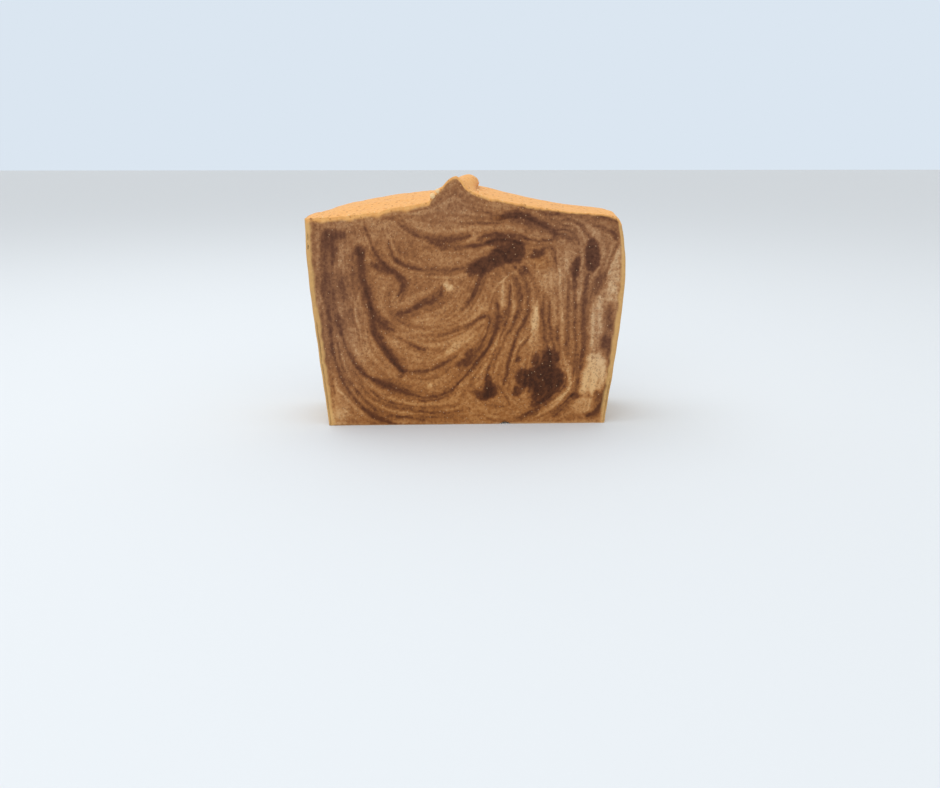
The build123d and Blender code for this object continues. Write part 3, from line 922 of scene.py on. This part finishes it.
# ---- the finishes --------------------------------------------------------------------------------


def colour(red: int, green: int, blue: int) -> tuple[float, float, float, float]:
    """A display colour from 0 to 255 as the linear one that shaders take."""
    parts = [value / 255.0 for value in (red, green, blue)]
    return (*(p / 12.92 if p <= 0.04045 else ((p + 0.055) / 1.055) ** 2.4 for p in parts), 1.0)


class Wiring:
    """A shader tree being built, with short ways to add its nodes."""

    def __init__(self, name: str) -> None:
        """Starts a material with only its output."""
        self.material = bpy.data.materials.new(name)
        self.material.use_nodes = True
        self.tree = self.material.node_tree
        self.tree.nodes.clear()

    def add(self, kind: str, settings: dict | None = None, **wires: object) -> bpy.types.Node:
        """Adds a node.

        Args:
            kind: The node's type, without its ShaderNode prefix.
            settings: Its own properties.
            wires: Socket names, with underscores for spaces, and each one's value or source.

        Returns:
            The node.
        """
        node = self.tree.nodes.new("ShaderNode" + kind)
        for key, value in (settings or {}).items():
            setattr(node, key, value)
        for key, value in wires.items():
            name = key.replace("_", " ")
            socket = node.inputs[int(key[1:])] if key[0] == "i" and key[1:].isdigit() else node.inputs[name]
            if isinstance(value, bpy.types.NodeSocket):
                self.tree.links.new(value, socket)
            else:
                socket.default_value = value
        return node

    def math(self, way: str, *terms: object) -> bpy.types.NodeSocket:
        """The result of a Math node."""
        wires = {f"i{place}": term for place, term in enumerate(terms)}
        return self.add("Math", {"operation": way}, **wires).outputs[0]

    def mix(self, share: object, first: object, second: object) -> bpy.types.NodeSocket:
        """Two colours mixed by a share."""
        return self.add("Mix", {"data_type": "RGBA"}, i0=share, i6=first, i7=second).outputs[2]

    def ramp(self, value: object, stops: Sequence[tuple[float, tuple]]) -> bpy.types.NodeSocket:
        """A colour read from a ramp.

        Args:
            value: Where to read it.
            stops: The ramp's places and colours.

        Returns:
            The colour.
        """
        node = self.add("ValToRGB", None, Fac=value)
        marks = node.color_ramp.elements
        while len(marks) < len(stops):
            marks.new(0.5)
        for mark, (place, shade) in zip(marks, stops):
            mark.position = place
            mark.color = shade
        return node.outputs[0]


@dataclass(frozen=True)
class SoapFinish:
    """The soap: marbled inside, with a yellow crust on top and pale skins where it touched the mould; the
    flank skin's colour is also laid along the cuts' side rims as a painted highlight.
    """

    crust: tuple = colour(214, 142, 70)
    crust_light: tuple = colour(238, 190, 122)
    # pale flank skin; on the cuts the same colour is laid in a band beside each flank, a painted highlight
    # where the rims glow
    flank: tuple = colour(222, 178, 112)
    foot: tuple = colour(190, 150, 105)
    cool_stops: tuple = (
        (0.0, colour(66, 36, 22)),
        (0.25, colour(102, 64, 44)),
        (0.5, colour(140, 96, 64)),
        (0.68, colour(170, 128, 92)),
        (0.92, colour(212, 180, 142)),
    )
    warm_stops: tuple = (
        (0.0, colour(60, 28, 8)),
        (0.25, colour(102, 56, 22)),
        (0.5, colour(158, 100, 46)),
        (0.68, colour(186, 130, 72)),
        (0.92, colour(218, 170, 108)),
    )
    dark_fleck: tuple = colour(84, 46, 28)
    light_fleck: tuple = colour(205, 170, 130)
    crust_pit: tuple = colour(150, 88, 44)
    roughness: float = 0.6
    shine: float = 0.18

    def make(self) -> bpy.types.Material:
        """The material for the bar."""
        w = Wiring("soap")
        object_place = w.add("TexCoord").outputs["Object"]
        place = w.add("VectorMath", {"operation": "SCALE"}, i0=object_place, Scale=1.0 / MM)
        here = place.outputs[0]
        read = {n: w.add("Attribute", {"attribute_name": n}).outputs["Fac"]
                for n in ("tone", "warmth", "top", "flank", "foot")}
        grain = w.add("TexNoise", None, Vector=here, Scale=1.3, Detail=4.0).outputs["Fac"]
        speck = w.add("TexVoronoi", None, Vector=here, Scale=0.75).outputs["Distance"]
        tone = w.math("ADD", read["tone"], w.math("MULTIPLY", w.math("SUBTRACT", grain, 0.5), 0.5))
        cool = w.ramp(tone, self.cool_stops)
        warm = w.ramp(tone, self.warm_stops)
        body = w.mix(read["warmth"], cool, warm)
        blot = w.add("TexNoise", None, Vector=here, Scale=1.1, Detail=3.0).outputs["Fac"]
        seeds = w.add("TexVoronoi", None, Vector=here, Scale=1.5).outputs["Distance"]
        dark_fleck = w.math("MULTIPLY", w.math("LESS_THAN", seeds, w.math("SUBTRACT", blot, 0.16)), 0.3)
        body = w.mix(dark_fleck, body, self.dark_fleck)
        light_fleck = w.math("MULTIPLY", w.math("LESS_THAN", speck, 0.11), 0.5)
        body = w.mix(light_fleck, body, self.light_fleck)
        crust = w.mix(w.math("MULTIPLY", grain, 1.0), self.crust, self.crust_light)
        pits = w.math("MULTIPLY", w.math("LESS_THAN", speck, w.math("SUBTRACT", blot, 0.28)), 0.5)
        crust = w.mix(pits, crust, self.crust_pit)
        body = w.mix(read["foot"], body, self.foot)
        # flank skin colour; through the flank mask it is also painted onto the cuts' side rims as a highlight
        flank = w.mix(w.math("MULTIPLY", grain, 0.7), self.flank, body)
        body = w.mix(read["flank"], body, flank)
        body = w.mix(read["top"], body, crust)
        bump = w.add("Bump", None, Strength=0.35, Distance=0.00012, Height=grain).outputs[0]
        wires = {"Specular IOR Level": self.shine, "Roughness": self.roughness}
        shade = w.add("BsdfPrincipled", None, Base_Color=body, Normal=bump, **wires)
        w.add("OutputMaterial", None, Surface=shade.outputs[0])
        return w.material


@dataclass(frozen=True)
class PlainFinish:
    """A matt colour."""

    name: str
    shade: tuple
    roughness: float = 0.9

    def make(self) -> bpy.types.Material:
        """The material."""
        w = Wiring(self.name)
        shade = w.add("BsdfPrincipled", None, Base_Color=self.shade, Roughness=self.roughness)
        w.add("OutputMaterial", None, Surface=shade.outputs[0])
        return w.material


# ---- crumbs --------------------------------------------------------------------------------------


@dataclass(frozen=True)
class Crumbs:
    """Pale crumbs that the wire left along the front top edge and in the crease at the ridge's foot."""

    places: tuple[tuple[float, float, float, float], ...] = (
        (-9.0, -12.6, 61.7, 0.75),
        (-7.7, -12.6, 62.9, 0.6),
        (-9.6, -12.3, 60.6, 0.3),
        (-16.2, -12.4, 58.9, 0.25),
        (-24.0, -12.4, 57.5, 0.22),
        (-30.6, -12.4, 56.8, 0.26),
        (-37.4, -12.4, 56.3, 0.24),
        (3.6, -12.3, 61.7, 0.26),
        (9.0, -12.4, 60.3, 0.22),
        (20.4, -12.4, 58.4, 0.2),
        (30.8, -12.4, 57.1, 0.24),
        (2.9, -9.0, 62.9, 0.25),
    )
    seed: int = 5

    def build(self, material: bpy.types.Material) -> bpy.types.Object:
        """Scatters the crumbs with Geometry Nodes and keeps the result as a plain mesh.

        Args:
            material: The crumbs' finish.

        Returns:
            The finished piece.
        """
        mesh = bpy.data.meshes.new("crumb_points")
        mesh.from_pydata([(x * MM, y * MM, z * MM) for x, y, z, _ in self.places], [], [])
        stored = mesh.attributes.new("size", "FLOAT", "POINT")
        stored.data.foreach_set("value", [radius * MM for *_, radius in self.places])
        seedbed = bpy.data.objects.new("crumb_points", mesh)
        bpy.context.collection.objects.link(seedbed)
        tree = bpy.data.node_groups.new("CrumbScatter", "GeometryNodeTree")
        face = tree.interface
        face.new_socket("Geometry", in_out="INPUT", socket_type="NodeSocketGeometry")
        seed = face.new_socket("Seed", in_out="INPUT", socket_type="NodeSocketInt")
        face.new_socket("Geometry", in_out="OUTPUT", socket_type="NodeSocketGeometry")
        add = tree.nodes.new
        link = tree.links.new
        source = add("NodeGroupInput")
        sink = add("NodeGroupOutput")
        ball = add("GeometryNodeMeshIcoSphere")
        scatter = add("GeometryNodeInstanceOnPoints")
        ball.inputs["Subdivisions"].default_value = 2
        ball.inputs["Radius"].default_value = 1.0
        turn = add("FunctionNodeRandomValue")
        size = add("GeometryNodeInputNamedAttribute")
        turn.data_type = "FLOAT_VECTOR"
        turn.inputs[1].default_value = (math.tau, math.tau, math.tau)
        size.data_type = "FLOAT"
        size.inputs["Name"].default_value = "size"
        real = add("GeometryNodeRealizeInstances")
        paint = add("GeometryNodeSetMaterial")
        paint.inputs["Material"].default_value = material
        link(source.outputs["Geometry"], scatter.inputs["Points"])
        link(source.outputs["Seed"], turn.inputs["Seed"])
        link(ball.outputs["Mesh"], scatter.inputs["Instance"])
        link(turn.outputs[0], scatter.inputs["Rotation"])
        link(size.outputs[0], scatter.inputs["Scale"])
        link(scatter.outputs[0], real.inputs[0])
        link(real.outputs[0], paint.inputs["Geometry"])
        link(paint.outputs[0], sink.inputs[0])
        live = seedbed.modifiers.new("crumbs", "NODES")
        live.node_group = tree
        live[seed.identifier] = self.seed
        graph = bpy.context.evaluated_depsgraph_get()
        made = bpy.data.meshes.new_from_object(seedbed.evaluated_get(graph), depsgraph=graph)
        bpy.data.objects.remove(seedbed)
        spots = np.empty(3 * len(made.vertices))
        made.vertices.foreach_get("co", spots)
        spots = spots.reshape(-1, 3) / MM
        knock = 0.16 * Ripple(self.seed).at(*(spots.T * 2.6))
        spots[:, 2] += knock
        spots[:, 0] += 0.6 * knock
        made.vertices.foreach_set("co", (spots * MM).ravel())
        piece = bpy.data.objects.new("soap_crumbs", made)
        bpy.context.collection.objects.link(piece)
        return piece


# ---- the studio ----------------------------------------------------------------------------------


@dataclass(frozen=True)
class Studio:
    """A pale floor and a pale sky under soft light, seen from a little above and left of the middle."""

    eye: tuple[float, float, float] = (-7.6, -249.95, 74.3)
    eye_turn: tuple[float, float, float] = (74.54, 0.0, -2.0)
    lens: float = 34.47
    sensor: float = 36.0
    reach: float = 2600.0
    overhead: float = 1.0
    fill: float = 0.45
    ambient: float = 0.88

    def build(self) -> None:
        """Makes the floor, the lights and the camera."""
        floor = bpy.data.meshes.new("floor")
        far = self.reach * MM
        corners = [(-far, -far, 0), (far, -far, 0), (far, far, 0), (-far, far, 0)]
        floor.from_pydata(corners, [], [(0, 1, 2, 3)])
        floor.materials.append(PlainFinish("floor_paper", colour(218, 224, 229)).make())
        stand = bpy.data.objects.new("floor", floor)
        bpy.context.collection.objects.link(stand)
        self.lamp("overhead", (-120.0, 60.0, 520.0), (0.0, 0.0, 30.0), 420.0, self.overhead)
        self.lamp("front_fill", (-160.0, -520.0, 260.0), (0.0, 0.0, 30.0), 400.0, self.fill)
        world = bpy.data.worlds.new("studio")
        world.use_nodes = True
        back = world.node_tree.nodes["Background"]
        path = world.node_tree.nodes.new("ShaderNodeLightPath")
        seen = world.node_tree.nodes.new("ShaderNodeBackground")
        blend = world.node_tree.nodes.new("ShaderNodeMixShader")
        back.inputs[0].default_value = (1.0, 1.0, 1.0, 1.0)
        back.inputs[1].default_value = self.ambient
        seen.inputs[0].default_value = colour(219, 230, 241)
        link = world.node_tree.links.new
        link(path.outputs["Is Camera Ray"], blend.inputs[0])
        link(back.outputs[0], blend.inputs[1])
        link(seen.outputs[0], blend.inputs[2])
        link(blend.outputs[0], world.node_tree.nodes["World Output"].inputs[0])
        bpy.context.scene.world = world
        bpy.context.scene.view_settings.view_transform = "Standard"
        data = bpy.data.cameras.new("eye")
        data.lens = self.lens
        data.sensor_width = self.sensor
        eye = bpy.data.objects.new("eye", data)
        eye.location = [v * MM for v in self.eye]
        eye.rotation_euler = [math.radians(v) for v in self.eye_turn]
        bpy.context.collection.objects.link(eye)
        bpy.context.scene.camera = eye

    def lamp(self, name: str, place: tuple, aim: tuple, size: float, power: float) -> None:
        """Adds a soft square lamp.

        Args:
            name: Its name.
            place: Where it hangs.
            aim: The place it faces.
            size: The length of its side.
            power: Its power in watts.
        """
        data = bpy.data.lights.new(name, "AREA")
        data.size = size * MM
        data.energy = power
        lamp = bpy.data.objects.new(name, data)
        lamp.location = Vector(place) * MM
        lamp.rotation_euler = (Vector(aim) - Vector(place)).to_track_quat("-Z", "Y").to_euler()
        bpy.context.collection.objects.link(lamp)


def main() -> None:
    """Builds the bar, its crumbs and the studio, and ties the pieces to the frame."""
    logging.basicConfig(level=logging.INFO)
    marbling = Marbling()
    marbling.prepare()
    soap = SoapFinish().make()
    crumb = PlainFinish("crumb", colour(232, 196, 142), 0.7).make()
    for piece in (SoapBar(marbling).build(soap), Crumbs().build(crumb)):
        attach(piece, BODY)
        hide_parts(NODE)
        LOG.info("%s: %d faces", piece.name, len(piece.data.polygons))
    Studio().build()


if __name__ == "__main__":
    main()
